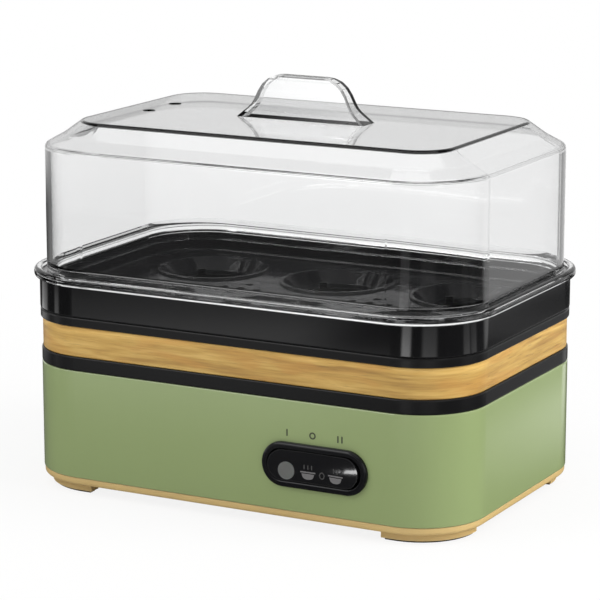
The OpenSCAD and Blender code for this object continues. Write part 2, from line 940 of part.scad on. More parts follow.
module rocker() {
    color([0.05, 0.05, 0.05])
        on_front()
            difference() {
                union() {
                    translate([0, 0, -rocker_back])
                        linear_extrude(rocker_back + rocker_mid + 3)
                            plan(rocker_w, rocker_h, rocker_h / 2);
                    translate([0, -(bezel_h / 2 - snout_out), -pivot_deep])
                        rotate([-90, 0, 0])
                            cylinder(d = pivot_d, h = bezel_h - 2 * snout_out);
                }
                translate([0, bezel_h, rocker_mid + rocker_face_r])
                    rotate([90, 0, 0])
                        cylinder(r = rocker_face_r, h = 2 * bezel_h, $fn = 720);
                translate([-lens_x, -lens_drop, rocker_mid - lens_l])
                    cylinder(d = lens_d + 2 * pin_gap, h = 2 * lens_l);
            }
}

module lamp_lens() {
    color("lightgray")
        on_front()
            translate([-lens_x, -lens_drop, rocker_mid - lens_l])
                cylinder(d = lens_d, h = lens_l + 0.6);
}

// ---- Egg tray ----

module at_cups() {
    for (x = [-1, 0, 1], y = [-0.5, 0.5])
        translate([x * pitch_x, y * pitch_y, 0])
            children();
}

module cup() {
    difference() {
        rotate_extrude()
            polygon(rounded([
                [cup_r + cup_t, z_tray_under],
                [cup_r + cup_t, z_tray_floor + cup_lip, 0.5],
                [cup_r, z_tray_floor + cup_lip, 0.6],
                [cup_hole_r, z_tray_floor - cup_deep + cup_t, 0.8],
                [cup_hole_r, z_tray_floor - cup_deep],
                [cup_hole_r + cup_t, z_tray_floor - cup_deep]
            ]));
        for (a = [45 : 90 : 315])
            rotate(a)
                translate([cup_hole_r - 2, -notch_w / 2, z_tray_floor - cup_deep - 1])
                    cube([cup_t + 3, notch_w, 3.4]);
    }
}

module egg_tray() {
    strip = 14;
    web_h = 3.6;
    color([0.04, 0.04, 0.04])
        union() {
            around(tray_w, tray_d, tray_r)
                polygon(rounded([
                    [0, z_tray, 0.6],
                    [0, z_rim, 0.5],
                    [-tray_t, z_rim, 0.4],
                    [-tray_t - draft, z_tray_floor, 1.4],
                    [-strip, z_tray_floor],
                    [-strip, z_tray_under],
                    [locator_outer - rib_t, z_tray_under],
                    [locator_outer - rib_t, z_tray - locator_h],
                    [locator_outer, z_tray - locator_h],
                    [locator_outer, z_tray_under],
                    [-tray_t, z_tray_under],
                    [-tray_t, z_tray]
                ]));
            difference() {
                slab(tray_w - 2 * strip + 2, tray_d - 2 * strip + 2, tray_r - strip + 1,
                    z_tray_under, floor_t);
                at_cups()
                    rod(2 * cup_r + cup_t, z_tray_under - 1, floor_t + 2);
                // Steam holes between each four cups
                at_sides(pitch_x / 2) {
                    rod(steam_d, z_tray_under - 1, floor_t + 2);
                    for (a = [0 : 90 : 270])
                        rotate(a)
                            translate([steam_pitch, 0, 0])
                                rod(steam_d, z_tray_under - 1, floor_t + 2);
                }
            }
            at_cups()
                cup();
            // Webs under the floor between the cups
            at_sides(pitch_x / 2)
                for (sy = [-1, 1])
                    translate([-rib_t / 2, sy > 0 ? steam_pitch + 4 : -tray_d / 2 - locator_outer,
                        z_tray_under - web_h])
                        cube([rib_t, tray_d / 2 + locator_outer - steam_pitch - 4, web_h]);
        }
}

// ---- Lid ----

// The outline of the handle across x or y, its skin moved in by inset and its foot carried down to z
function handle_outline(foot_w, top_w, flare, r, inset, z) =
    let (
        skin = moved([
            [foot_w / 2 + flare, z_panel],
            [foot_w / 2, z_panel + handle_flare_h],
            [top_w / 2, z_panel + handle_h],
            [0, z_panel + handle_h]
        ], inset),
        half = [
            [skin[0][0], z],
            skin[0],
            [skin[1][0], skin[1][1], handle_knee_r + inset],
            [skin[2][0], skin[2][1], r - inset]
        ]
    )
    rounded(concat(half, mirrored(half)));

module handle_form(inset, z) {
    reach = handle_w / 2 + handle_flare + 1;
    intersection() {
        translate([0, reach, 0])
            rotate([90, 0, 0])
                linear_extrude(2 * reach)
                    polygon(handle_outline(handle_w, handle_top_w, handle_flare, handle_r, inset, z));
        translate([-reach, 0, 0])
            rotate([90, 0, 90])
                linear_extrude(2 * reach)
                    polygon(handle_outline(handle_foot_t, handle_top_t, handle_side_flare,
                        max(handle_side_r, inset + 0.4), inset, z));
    }
}

module lid() {
    foot_in = -lid_t;
    strip = ledge_run + slope_run + 5;
    outside = [
        [0, z_rim],
        [0, z_shoulder, shoulder_r],
        [-ledge_run, z_ledge, ledge_r],
        [-ledge_run - slope_run, z_panel, panel_r],
        [-strip, z_panel]
    ];
    inside = moved(outside, lid_t);
    color([0.85, 0.9, 0.92, 0.35])
        difference() {
            union() {
                around(lid_w, lid_d, lid_r)
                    polygon(rounded(concat(
                        outside,
                        [[-strip, z_panel - lid_t]],
                        [[inside[3][0], inside[3][1], 1], [inside[2][0], inside[2][1], ledge_r - lid_t]],
                        [[inside[1][0], inside[1][1], 1]],
                        [
                            [foot_in, z_rim + flange_h + 2],
                            [foot_in - rib_t, z_rim + flange_h],
                            [foot_in - rib_t, z_rim - locator_deep, 0.5],
                            [foot_in, z_rim - locator_deep, 0.5],
                            [foot_in, z_rim]
                        ]
                    )));
                slab(lid_w - 2 * strip + 2, lid_d - 2 * strip + 2, lid_r - strip + 1, z_panel - lid_t, lid_t);
                difference() {
                    slab(flange_w - 4, flange_d - 4, flange_r - 2, z_rim, flange_t);
                    slab(lid_w - lid_t, lid_d - lid_t, lid_r - lid_t / 2, z_rim - 1, flange_t + 2);
                }
                around(flange_w, flange_d, flange_r)
                    polygon(rounded([
                        [0, z_rim, 1.4],
                        [0, z_rim + flange_h, 1.4],
                        [-bead_w, z_rim + flange_h, 1],
                        [-bead_w, z_rim]
                    ]));
                handle_form(0, z_panel - lid_t / 2);
            }
            handle_form(handle_t, z_panel - lid_t - 1);
            for (sy = [-1, 1])
                translate([-vent_x, sy * vent_pitch / 2 + 2, 0])
                    rod(vent_d, z_panel - lid_t - 1, lid_t + 2);
        }
}

base_plate();
feet();
foot_pads();
base_screws();
outer_shell();
lower_trim_ring();
wood_band();
upper_housing();
housing_screws();
cord_gland();
water_pan();
pan_seal();
heater_plate();
heating_element();
heater_straps();
strap_screws();
thermostat();
thermal_fuse();
fuse_clip();
terminal_block();
wiring();
switch_bezel();
switch_body();
switch_terminals();
neon_lamp();
rocker();
lamp_lens();
egg_tray();
lid();
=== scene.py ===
"""Finishes, printed marks, camera and light for the egg steamer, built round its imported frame."""

import math

import bmesh
import bpy
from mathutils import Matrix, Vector


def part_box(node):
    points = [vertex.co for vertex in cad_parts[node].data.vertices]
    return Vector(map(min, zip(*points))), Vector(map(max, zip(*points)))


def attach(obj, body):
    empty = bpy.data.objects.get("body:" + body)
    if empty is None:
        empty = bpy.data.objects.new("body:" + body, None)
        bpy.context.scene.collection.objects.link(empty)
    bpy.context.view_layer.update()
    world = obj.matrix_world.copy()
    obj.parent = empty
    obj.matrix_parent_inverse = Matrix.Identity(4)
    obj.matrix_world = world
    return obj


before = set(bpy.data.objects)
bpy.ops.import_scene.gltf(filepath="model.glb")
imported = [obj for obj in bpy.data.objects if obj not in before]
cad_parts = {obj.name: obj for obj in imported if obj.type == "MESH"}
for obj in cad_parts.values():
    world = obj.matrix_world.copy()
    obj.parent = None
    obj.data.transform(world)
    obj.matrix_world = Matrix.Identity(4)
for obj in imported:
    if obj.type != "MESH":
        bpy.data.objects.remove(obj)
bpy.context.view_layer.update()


# ---- Camera ----
# A long lens, a little above the height of the lid and well round to the switch side.
# It looks at a point just below the flange of the lid.

camera_azimuth = math.radians(28.0)
camera_elevation = math.radians(12.55)
camera_distance = 1.0368
camera_target = Vector((-0.00213, 0.0, 0.0689))

towards_camera = Vector((
    math.sin(camera_azimuth) * math.cos(camera_elevation),
    -math.cos(camera_azimuth) * math.cos(camera_elevation),
    math.sin(camera_elevation),
))
camera_data = bpy.data.cameras.new("camera")
camera_data.lens = 165.9
camera_data.sensor_width = 36.0
camera_data.clip_end = 20.0
camera = bpy.data.objects.new("camera", camera_data)
camera.location = camera_target + camera_distance * towards_camera
camera.rotation_euler = towards_camera.to_track_quat("Z", "Y").to_euler()
bpy.context.collection.objects.link(camera)
bpy.context.scene.camera = camera


# ---- Studio ----
# A white sweep of paper in a white room, with three softboxes that light the body.
# Gloss sees a dim room with a few bright windows instead, and clear pieces see the white.

white = (1.0, 1.0, 1.0)
room_level = 0.5
mirrored_level = 0.15
back_wall_level = 0.52
overhead_level = 0.25
echo_level = 0.16

bpy.context.scene.view_settings.view_transform = "Standard"


def link(tree, source, target):
    tree.links.new(source, target)


def new_node(tree, kind, **settings):
    """A node of that kind, with its properties and the default values of its inputs set."""
    made = tree.nodes.new(kind)
    for name, value in settings.items():
        if hasattr(made, name):
            setattr(made, name, value)
        else:
            made.inputs[name.replace("_", " ")].default_value = value
    return made


def maths(tree, operation, first, second=None, clamp=False):
    """One Math node; a number or a socket for each operand. Returns its output."""
    made = tree.nodes.new("ShaderNodeMath")
    made.operation = operation
    made.use_clamp = clamp
    for index, value in enumerate((first, second)):
        if value is None:
            continue
        if isinstance(value, (int, float)):
            made.inputs[index].default_value = value
        else:
            link(tree, value, made.inputs[index])
    return made.outputs[0]


def ramp(tree, value, start, end, low=0.0, high=1.0):
    """A smooth change from low to high while the value goes from start to end."""
    made = new_node(tree, "ShaderNodeMapRange", interpolation_type="SMOOTHSTEP")
    for name, number in (("From Min", start), ("From Max", end), ("To Min", low), ("To Max", high)):
        made.inputs[name].default_value = number
    link(tree, value, made.inputs["Value"])
    return made.outputs["Result"]


def located(tree, place):
    """The coordinates of a direction or a place, and its azimuth: 0 in front, more to the right."""
    parts = new_node(tree, "ShaderNodeSeparateXYZ")
    link(tree, place, parts.inputs[0])
    azimuth = maths(tree, "ARCTAN2", parts.outputs["X"], maths(tree, "MULTIPLY", parts.outputs["Y"], -1.0))
    return parts.outputs, azimuth


def window(tree, azimuth, middle, width, level):
    """That level over an upright window, its middle and width in degrees, and zero elsewhere."""
    full_to = math.radians(0.35 * width)
    gone_at = math.radians(0.65 * width)
    away = maths(tree, "ABSOLUTE", maths(tree, "SUBTRACT", azimuth, math.radians(middle)))
    return ramp(tree, away, full_to, gone_at, low=level, high=0.0)


def windows(tree, azimuth, places):
    """The sum of several windows, each given as its middle, its width and its level."""
    total = window(tree, azimuth, *places[0])
    for place in places[1:]:
        total = maths(tree, "ADD", total, window(tree, azimuth, *place))
    return total


def shining(tree, kind, strength, colour=white):
    """A background or an emission of that colour, with a number or a socket for its strength."""
    made = new_node(tree, kind, Color=(*colour, 1.0))
    if isinstance(strength, float):
        made.inputs["Strength"].default_value = strength
    else:
        link(tree, strength, made.inputs["Strength"])
    return made


def seen_by(tree, rays, shown, otherwise):
    """What those rays see, and another shader for the rest."""
    choice = new_node(tree, "ShaderNodeMixShader")
    link(tree, rays, choice.inputs[0])
    link(tree, otherwise.outputs[0], choice.inputs[1])
    link(tree, shown.outputs[0], choice.inputs[2])
    return choice


# The room gets darker towards its ceiling, and has one pale wall behind the body
room_windows = ((-24.0, 10.0, 1.6), (58.0, 8.0, 1.6), (-78.0, 14.0, 1.6))
world = bpy.data.worlds.new("white_room")
bpy.context.scene.world = world
world.use_nodes = True
room = world.node_tree
room.nodes.clear()
room_rays = new_node(room, "ShaderNodeLightPath").outputs
direction, room_azimuth = located(room, new_node(room, "ShaderNodeTexCoord").outputs["Generated"])
fade = ramp(room, direction["Z"], start=0.35, end=0.85, low=1.0, high=overhead_level)
across = maths(room, "SUBTRACT", room_azimuth, camera_azimuth)
behind = maths(room, "MULTIPLY", maths(room, "COSINE", across), -1.0)
back_wall = ramp(room, behind, start=0.5, end=0.9, high=back_wall_level)
mirrored = maths(room, "ADD", mirrored_level, windows(room, room_azimuth, room_windows))
mirrored = maths(room, "MULTIPLY", maths(room, "ADD", mirrored, back_wall), fade)

mirrored_room = shining(room, "ShaderNodeBackground", mirrored)
through_room = shining(room, "ShaderNodeBackground", fade)
lighting_room = shining(room, "ShaderNodeBackground", room_level, colour=(1.0, 0.99, 0.97))
seen_room = shining(room, "ShaderNodeBackground", 1.0)

# A clear piece that shows by way of a reflection shows the mirrored room too
after_gloss = maths(room, "MINIMUM", room_rays["Glossy Depth"], 1.0)
clear_room = seen_by(room, after_gloss, mirrored_room, through_room)
chosen = seen_by(room, room_rays["Is Glossy Ray"], mirrored_room, lighting_room)
chosen = seen_by(room, room_rays["Is Transmission Ray"], clear_room, chosen)
chosen = seen_by(room, room_rays["Is Camera Ray"], seen_room, chosen)
room_output = new_node(room, "ShaderNodeOutputWorld")
link(room, chosen.outputs[0], room_output.inputs["Surface"])

# The paper glows to white for the lens, a little less close by, where it keeps the body's soft shadow
floor_size = 6.0
paper_colour = (0.8, 0.8, 0.8)
floor_material = bpy.data.materials.new("white_sweep")
floor_material.use_nodes = True
sweep = floor_material.node_tree
sweep.nodes.clear()
paper_rays = new_node(sweep, "ShaderNodeLightPath").outputs
paper_place = new_node(sweep, "ShaderNodeTexCoord").outputs["Object"]
spot, paper_azimuth = located(sweep, paper_place)
distance = new_node(sweep, "ShaderNodeVectorMath", operation="LENGTH")
link(sweep, paper_place, distance.inputs[0])
reach = distance.outputs["Value"]

paper = new_node(sweep, "ShaderNodeBsdfDiffuse", Color=(*paper_colour, 1.0))
seen = maths(sweep, "MAXIMUM", paper_rays["Is Camera Ray"], paper_rays["Is Transmission Ray"])
seen = maths(sweep, "MULTIPLY", seen, ramp(sweep, reach, start=0.12, end=0.35, low=0.87))
lit_paper = seen_by(sweep, seen, shining(sweep, "ShaderNodeEmission", 1.0), paper)

# A clear piece that shows by way of a reflection shows it dim
echoed = maths(sweep, "MULTIPLY", paper_rays["Is Transmission Ray"],
               maths(sweep, "MINIMUM", paper_rays["Glossy Depth"], 1.0))
lit_paper = seen_by(sweep, echoed, shining(sweep, "ShaderNodeEmission", echo_level), lit_paper)

# Gloss sees the paper bright in front of the body and along its right end
in_front = ramp(sweep, spot["Y"], start=-0.13, end=-0.28, low=0.1, high=1.1)
leftward = ramp(sweep, paper_azimuth, start=math.radians(-18.0), end=math.radians(-2.0), low=1.0, high=0.35)
at_right = maths(sweep, "MULTIPLY", ramp(sweep, spot["X"], start=0.085, end=0.12),
                 ramp(sweep, spot["X"], start=0.13, end=0.165, low=1.0, high=0.0))
at_right = maths(sweep, "MULTIPLY", at_right, ramp(sweep, spot["Y"], start=-0.02, end=0.22))
near = maths(sweep, "ADD", maths(sweep, "MULTIPLY", in_front, leftward), at_right)

# Further out it sees the light of the windows on the paper, which soon gets weak
paper_windows = (
    (-95.0, 20.0, 1.4), (-63.0, 8.0, 2.0), (-28.0, 22.0, 0.85), (12.0, 12.0, 4.5),
    (42.0, 18.0, 1.7), (92.0, 10.0, 1.3), (104.0, 10.0, 0.8), (140.0, 24.0, 0.1),
)
between_windows = 0.05
far = maths(sweep, "ADD", windows(sweep, paper_azimuth, paper_windows), between_windows)
far = maths(sweep, "MULTIPLY", far, ramp(sweep, reach, start=0.345, end=0.4, low=1.25, high=0.6))
is_far = ramp(sweep, reach, start=0.3, end=0.335)
mirrored_paper = maths(sweep, "ADD", maths(sweep, "MULTIPLY", near, maths(sweep, "SUBTRACT", 1.0, is_far)),
                       maths(sweep, "MULTIPLY", far, is_far))
mirrored_paper = maths(sweep, "MULTIPLY", mirrored_paper,
                       ramp(sweep, reach, start=0.41, end=0.47, low=1.0, high=0.15))

# At the back and far out the paper is white to it
at_back = maths(sweep, "MAXIMUM", ramp(sweep, spot["X"], start=0.23, end=0.245),
                ramp(sweep, spot["Y"], start=0.4, end=0.43))
rearward = ramp(sweep, maths(sweep, "ABSOLUTE", paper_azimuth),
                start=math.radians(122.0), end=math.radians(132.0))
outer_paper = maths(sweep, "MAXIMUM", maths(sweep, "MULTIPLY", at_back, rearward),
                    ramp(sweep, reach, start=0.6, end=0.85))
mirrored_paper = maths(sweep, "MAXIMUM", mirrored_paper, outer_paper)
only_gloss = maths(sweep, "SUBTRACT", paper_rays["Is Glossy Ray"], paper_rays["Is Transmission Ray"],
                   clamp=True)
lit_paper = seen_by(sweep, only_gloss, shining(sweep, "ShaderNodeEmission", mirrored_paper), lit_paper)
sweep_output = new_node(sweep, "ShaderNodeOutputMaterial")
link(sweep, lit_paper.outputs[0], sweep_output.inputs["Surface"])

bpy.ops.mesh.primitive_plane_add(size=floor_size, location=(0.0, 0.0, -0.0002))
floor = bpy.context.object
floor.name = "floor"
floor.data.materials.append(floor_material)


def lamp(name, shape, width, height, power):
    """An area lamp, not yet placed. Returns its object."""
    light = bpy.data.lights.new(name, "AREA")
    light.shape = shape
    light.size = width
    light.size_y = height
    light.energy = power
    holder = bpy.data.objects.new(name, light)
    bpy.context.collection.objects.link(holder)
    return holder


def softbox(name, azimuth, elevation, distance, width, height, power):
    """A rectangular lamp that faces the middle of the body."""
    body_middle = Vector((0.0, 0.0, 0.08))
    side = math.radians(azimuth)
    up = math.radians(elevation)
    away = Vector((math.sin(side) * math.cos(up), -math.cos(side) * math.cos(up), math.sin(up)))
    holder = lamp(name, "RECTANGLE", width, height, power)
    holder.location = body_middle + distance * away
    holder.rotation_euler = away.to_track_quat("Z", "Y").to_euler()
    return holder


softbox("key_softbox", azimuth=-38.0, elevation=38.0, distance=1.5, width=1.0, height=0.8, power=7.0)
side_box = softbox(
    "side_softbox", azimuth=98.0, elevation=30.0, distance=1.3, width=0.7, height=0.9, power=14.0,
)
side_box.visible_glossy = False
side_box.visible_transmission = False
softbox("top_softbox", azimuth=10.0, elevation=82.0, distance=1.4, width=1.8, height=1.6, power=7.0)

# A tiny lamp lies face up on the paper, in front of the switch, and only the polished rocker mirrors it
glint = lamp("glint", "DISK", width=0.0058, height=0.0058, power=0.00108)
glint.location = (-0.0042, -0.1262, 0.0003)
glint.rotation_euler = (math.pi, 0.0, 0.0)
glint.visible_camera = False
glint.visible_transmission = False
glint_on = bpy.data.collections.new("glint_on")
glint_on.objects.link(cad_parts["rocker"])
glint.light_linking.receiver_collection = glint_on


# ---- Feet and base plate ----
# The feet are four low ribs under the corners, each with a strip of black rubber let into it.
# Feet and base plate are moulded in a warm beige plastic with a fine spark-eroded skin.


def noise(tree, place, scale, **settings):
    """Noise over that place, with a number or a socket for its scale. Returns its output."""
    made = new_node(tree, "ShaderNodeTexNoise", **settings)
    link(tree, place, made.inputs["Vector"])
    if isinstance(scale, float):
        made.inputs["Scale"].default_value = scale
    else:
        link(tree, scale, made.inputs["Scale"])
    return made.outputs["Fac"]


def toned(tree, colour, level):
    """A colour, three numbers or a socket, times a level. Returns its output."""
    made = new_node(tree, "ShaderNodeVectorMath", operation="SCALE")
    if isinstance(colour, tuple):
        made.inputs[0].default_value = colour
    else:
        link(tree, colour, made.inputs[0])
    link(tree, level, made.inputs["Scale"])
    return made.outputs["Vector"]


def drawn_towards(tree, share, colour, other):
    """A colour moved by that share towards another, which is three numbers. Returns its output."""
    # In a Mix node, sockets 6 and 7 are its two colours, and output 2 is the mixed one
    made = new_node(tree, "ShaderNodeMix", data_type="RGBA")
    link(tree, share, made.inputs["Factor"])
    link(tree, colour, made.inputs[6])
    made.inputs[7].default_value = (*other, 1.0)
    return made.outputs[2]


def skin_group():
    """Moulded plastic: a little unevenness of colour, a fine grain, and edges rubbed brighter."""
    rubbed_colour = (0.8, 0.8, 0.78)
    edge_gain = 6.0
    group = bpy.data.node_groups.new("moulded_skin", "ShaderNodeTree")
    face = group.interface
    for name, kind, value in (
        ("Colour", "NodeSocketColor", (0.5, 0.5, 0.5, 1.0)),
        ("Unevenness", "NodeSocketFloat", 0.05),
        ("Patch size", "NodeSocketFloat", 30.0),
        ("Roughness", "NodeSocketFloat", 0.4),
        ("Roughness spread", "NodeSocketFloat", 0.05),
        ("Grain scale", "NodeSocketFloat", 1500.0),
        ("Edge width", "NodeSocketFloat", 0.0006),
        ("Edge wear", "NodeSocketFloat", 0.1),
    ):
        socket = face.new_socket(name, in_out="INPUT", socket_type=kind)
        socket.default_value = value
    face.new_socket("Colour", in_out="OUTPUT", socket_type="NodeSocketColor")
    face.new_socket("Roughness", in_out="OUTPUT", socket_type="NodeSocketFloat")
    face.new_socket("Height", in_out="OUTPUT", socket_type="NodeSocketFloat")
    given = new_node(group, "NodeGroupInput").outputs
    result = new_node(group, "NodeGroupOutput").inputs
    place = new_node(group, "ShaderNodeTexCoord").outputs["Object"]
    patches = noise(group, place, given["Patch size"], Detail=3.0, Roughness=0.55)
    swing = maths(group, "SUBTRACT", patches, 0.5)

    # The angle between the true face and a rounded one shows where the edges are
    rounded = new_node(group, "ShaderNodeBevel", samples=4)
    link(group, given["Edge width"], rounded.inputs["Radius"])
    shape = new_node(group, "ShaderNodeNewGeometry")
    agreement = new_node(group, "ShaderNodeVectorMath", operation="DOT_PRODUCT")
    link(group, rounded.outputs["Normal"], agreement.inputs[0])
    link(group, shape.outputs["Normal"], agreement.inputs[1])
    parting = maths(group, "SUBTRACT", 1.0, agreement.outputs["Value"])
    edge = maths(group, "MULTIPLY", parting, edge_gain, clamp=True)
    worn = maths(group, "MULTIPLY", edge, given["Edge wear"], clamp=True)

    level = maths(group, "ADD", 1.0, maths(group, "MULTIPLY", swing, given["Unevenness"]))
    uneven = toned(group, given["Colour"], level)
    link(group, drawn_towards(group, worn, uneven, rubbed_colour), result["Colour"])
    spread = maths(group, "MULTIPLY", swing, given["Roughness spread"])
    link(group, maths(group, "ADD", given["Roughness"], spread, clamp=True), result["Roughness"])
    link(group, noise(group, place, given["Grain scale"], Detail=2.0, Roughness=0.6), result["Height"])
    return group


moulded_skin = skin_group()


def new_material(name):
    """A node material. Returns it, its tree and its Principled shader."""
    made = bpy.data.materials.new(name)
    made.use_nodes = True
    return made, made.node_tree, made.node_tree.nodes["Principled BSDF"]


def set_shader(shader, **sockets):
    for name, value in sockets.items():
        shader.inputs[name.replace("_", " ")].default_value = value


def bump(tree, shader, height, relief):
    """Gives a shader a bump of that relief in metres."""
    made = new_node(tree, "ShaderNodeBump", Distance=relief)
    link(tree, height, made.inputs["Height"])
    link(tree, made.outputs["Normal"], shader.inputs["Normal"])


def plastic(name, colour, roughness, relief, skin=None, **sockets):
    """Moulded plastic or rubber: the skin group with its own values, and a bump of that relief."""
    made, tree, shader = new_material(name)
    surface = new_node(tree, "ShaderNodeGroup", node_tree=moulded_skin)
    surface.inputs["Colour"].default_value = (*colour, 1.0)
    surface.inputs["Roughness"].default_value = roughness
    for key, value in (skin or {}).items():
        surface.inputs[key].default_value = value
    link(tree, surface.outputs["Colour"], shader.inputs["Base Color"])
    link(tree, surface.outputs["Roughness"], shader.inputs["Roughness"])
    bump(tree, shader, surface.outputs["Height"], relief)
    set_shader(shader, **sockets)
    return made


def dress(material, *nodes):
    """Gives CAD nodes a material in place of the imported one."""
    for name in nodes:
        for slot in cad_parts[name].material_slots:
            slot.material = material


beige_plastic = plastic(
    "beige_plastic", colour=(0.62, 0.44, 0.18), roughness=0.42, relief=0.00003,
    skin={"Unevenness": 0.16, "Patch size": 60.0, "Grain scale": 1800.0, "Edge wear": 0.12},
)
dress(beige_plastic, "feet", "base_plate")

foot_rubber = plastic(
    "foot_rubber", colour=(0.022, 0.022, 0.022), roughness=0.78, relief=0.00006,
    skin={"Unevenness": 0.5, "Grain scale": 900.0, "Edge wear": 0.05},
)
dress(foot_rubber, "foot_pads")


# ---- Screws, straps and spring clips ----
# Zinc-plated steel: pan-head screws with a cross recess, and two stamped bars under the heater.
# The plating is bright but uneven, with fine rolling marks.


def stretched(tree, place, scale):
    """A place with its three axes scaled. Returns its output."""
    made = new_node(tree, "ShaderNodeMapping", Scale=scale)
    link(tree, place, made.inputs["Vector"])
    return made.outputs["Vector"]


def metal(name, colour, roughness, streak, streak_scale, **sockets):
    """Worked metal: fine streaks in its roughness and colour along X, over broad clouds."""
    along_x = 0.03
    cloud_scale = 45.0
    cloud_spread = 0.3
    relief = 0.00002
    made, tree, shader = new_material(name)
    place = new_node(tree, "ShaderNodeTexCoord").outputs["Object"]
    drawn = stretched(tree, place, (streak_scale * along_x, streak_scale, streak_scale))
    streaks = noise(tree, drawn, 1.0, Detail=4.0)
    clouds = noise(tree, place, cloud_scale, Detail=3.0)
    marks = maths(tree, "SUBTRACT", streaks, 0.5)
    cloudy = maths(tree, "MULTIPLY", maths(tree, "SUBTRACT", clouds, 0.5), cloud_spread)
    level = maths(tree, "ADD", 1.0, maths(tree, "MULTIPLY", marks, 2.0 * streak))
    level = maths(tree, "ADD", level, cloudy)
    link(tree, toned(tree, colour, level), shader.inputs["Base Color"])
    scratched = maths(tree, "MULTIPLY", marks, streak)
    link(tree, maths(tree, "ADD", roughness, scratched, clamp=True), shader.inputs["Roughness"])
    bump(tree, shader, streaks, relief)
    set_shader(shader, Metallic=1.0, **sockets)
    return made


zinc_steel = metal(
    "zinc_steel", colour=(0.62, 0.64, 0.66), roughness=0.32, streak=0.18, streak_scale=2500.0,
)
dress(zinc_steel, "base_screws", "housing_screws", "strap_screws", "heater_straps", "fuse_clip")


# ---- Outer shell ----
# A deep moulded ring in sage green with a polished, lacquer-like face.
# It stands on the base plate and carries the black ring, the switch and the cord gland.

sage_green = plastic(
    "sage_green", colour=(0.275, 0.35, 0.15), roughness=0.3, relief=0.000012,
    skin={"Unevenness": 0.05, "Patch size": 14.0, "Roughness spread": 0.04, "Grain scale": 420.0,
          "Edge wear": 0.1, "Edge width": 0.0008},
    Coat_Weight=0.8, Coat_Roughness=0.06,
)
dress(sage_green, "outer_shell")


# ---- Black rings ----
# The ring on the shell and the collar of the upper housing are satin black mouldings.
# The housing runs down inside both and holds the pan.

satin_black = plastic(
    "satin_black", colour=(0.0065, 0.0065, 0.007), roughness=0.29, relief=0.00002,
    skin={"Unevenness": 0.3, "Roughness spread": 0.08, "Grain scale": 1600.0, "Edge wear": 0.035},
    Specular_IOR_Level=0.25,
)
dress(satin_black, "lower_trim_ring", "upper_housing")


# ---- Wood band ----
# A bent strip of light oak under satin lacquer, its grain running round the body.
# Long soft figure, fine dark pores and a slight change of tone from place to place.

dark_oak = (0.39, 0.215, 0.05)
middle_oak = (0.545, 0.33, 0.08)
pale_oak = (0.67, 0.44, 0.13)
amber_oak = (0.56, 0.26, 0.055)
amber_share = 0.35
oak_level = 0.82
tone_spread = 0.3
pore_depth = 0.28
# Strength of the painted highlight along the band's top edge
top_highlight_gain = 0.22

light_oak, oak, oak_shader = new_material("light_oak")
oak_place = new_node(oak, "ShaderNodeTexCoord").outputs["Object"]


def grain_layer(along, across, detail, distortion):
    """Noise drawn out round the body: slow along it, quick from edge to edge."""
    drawn = stretched(oak, oak_place, (along, along, across))
    return noise(oak, drawn, 1.0, Detail=detail, Distortion=distortion)


figure = grain_layer(along=34.0, across=300.0, detail=3.0, distortion=0.7)
streaks = grain_layer(along=60.0, across=1400.0, detail=4.0, distortion=0.2)
pores = grain_layer(along=120.0, across=3600.0, detail=2.0, distortion=0.1)
tone = grain_layer(along=12.0, across=30.0, detail=2.0, distortion=0.0)
amber = grain_layer(along=40.0, across=190.0, detail=2.0, distortion=0.5)

blend = maths(oak, "ADD", maths(oak, "MULTIPLY", figure, 0.6), maths(oak, "MULTIPLY", streaks, 0.4))
shades = new_node(oak, "ShaderNodeValToRGB")
steps = shades.color_ramp.elements
steps[0].position = 0.35
steps[0].color = (*dark_oak, 1.0)
steps[1].position = 0.65
steps[1].color = (*pale_oak, 1.0)
steps.new(0.5).color = (*middle_oak, 1.0)
link(oak, blend, shades.inputs["Fac"])
warmth = ramp(oak, amber, start=0.48, end=0.66, high=amber_share)
warmed = drawn_towards(oak, warmth, shades.outputs["Color"], amber_oak)

# The pores are darker, and a painted highlight makes the top edge paler
open_pores = ramp(oak, pores, start=0.6, end=0.75)
band_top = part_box("wood_band")[1][2]
oak_height = new_node(oak, "ShaderNodeSeparateXYZ")
link(oak, oak_place, oak_height.inputs[0])
# Painted highlight: the colour is lightened over the top few millimetres of the band
painted_top_highlight = ramp(oak, oak_height.outputs["Z"], start=band_top - 0.0034, end=band_top - 0.0012, high=top_highlight_gain)
level = maths(oak, "ADD", oak_level, maths(oak, "MULTIPLY", tone, tone_spread))
level = maths(oak, "SUBTRACT", level, maths(oak, "MULTIPLY", open_pores, pore_depth))
level = maths(oak, "ADD", level, painted_top_highlight)
link(oak, toned(oak, warmed, level), oak_shader.inputs["Base Color"])

oak_roughness = maths(oak, "ADD", 0.36, maths(oak, "MULTIPLY", streaks, 0.14))
link(oak, oak_roughness, oak_shader.inputs["Roughness"])
bump(oak, oak_shader, maths(oak, "SUBTRACT", streaks, open_pores), 0.00005)
set_shader(oak_shader, Coat_Weight=0.15, Coat_Roughness=0.3)
dress(light_oak, "wood_band")


# ---- Cord gland ----
# A rubber bush snapped into the back of the shell, with a plain hole for the cord.
# The hole is left empty, because no cord is fitted.

dress(foot_rubber, "cord_gland")


# ---- Water pan and its seal ----
# A shallow pan pressed from stainless sheet, rolled at its rim and brushed along its length.
# It sits on a thin grey silicone ring in the deck of the housing.

stainless = metal(
    "stainless", colour=(0.58, 0.58, 0.59), roughness=0.28, streak=0.22, streak_scale=1800.0,
    Anisotropic=0.4,
)
dress(stainless, "water_pan")
silicone = plastic(
    "grey_silicone", colour=(0.5, 0.5, 0.48), roughness=0.6, relief=0.00003,
    skin={"Unevenness": 0.2},
)
dress(silicone, "pan_seal")


# ---- Heater ----
# An aluminium plate clamped under the pan by two bars on welded studs, with a heat-tinted steel tube.
# A bimetal thermostat and a fuse in a woven glass sleeve lie against the plate.

